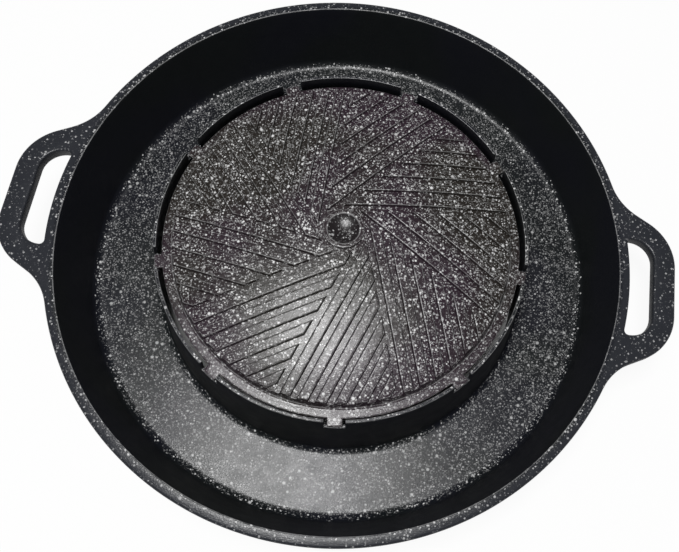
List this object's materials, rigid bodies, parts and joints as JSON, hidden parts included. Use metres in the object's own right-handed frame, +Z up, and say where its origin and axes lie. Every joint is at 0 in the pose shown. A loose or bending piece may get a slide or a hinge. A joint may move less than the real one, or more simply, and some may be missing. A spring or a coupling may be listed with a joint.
{
  "type": "hot pot grill combo",
  "caption": "Round cast pan: a ring-shaped soup trough with loop ears around a lift-off domed grilling plate that sits by its tabs in a notched central drum.",
  "frame": {"origin": "on the table under the middle of the pot, at the pot's axis", "axes": "+Z up along the pot's axis, +X towards the right-hand ear, +Y away from the cook"},
  "size_m": [0.3948, 0.34, 0.0704],
  "materials": {
    "pot_coating": "cast aluminium under a charcoal non-stick coating with fine pale stone speckles",
    "plate_coating": "cast aluminium under a charcoal non-stick coating with fine pale stone speckles"
  },
  "bodies": {
    "pot": {"pot": "pot_coating"},
    "grill_plate": {"grill_plate": "plate_coating"}
  },
  "joints": [
    {"name": "grill_plate_lift", "type": "slide", "parent": "pot", "child": "grill_plate", "axis": [0, 0, 1], "range_m": [0, 0.12]}
  ]
}
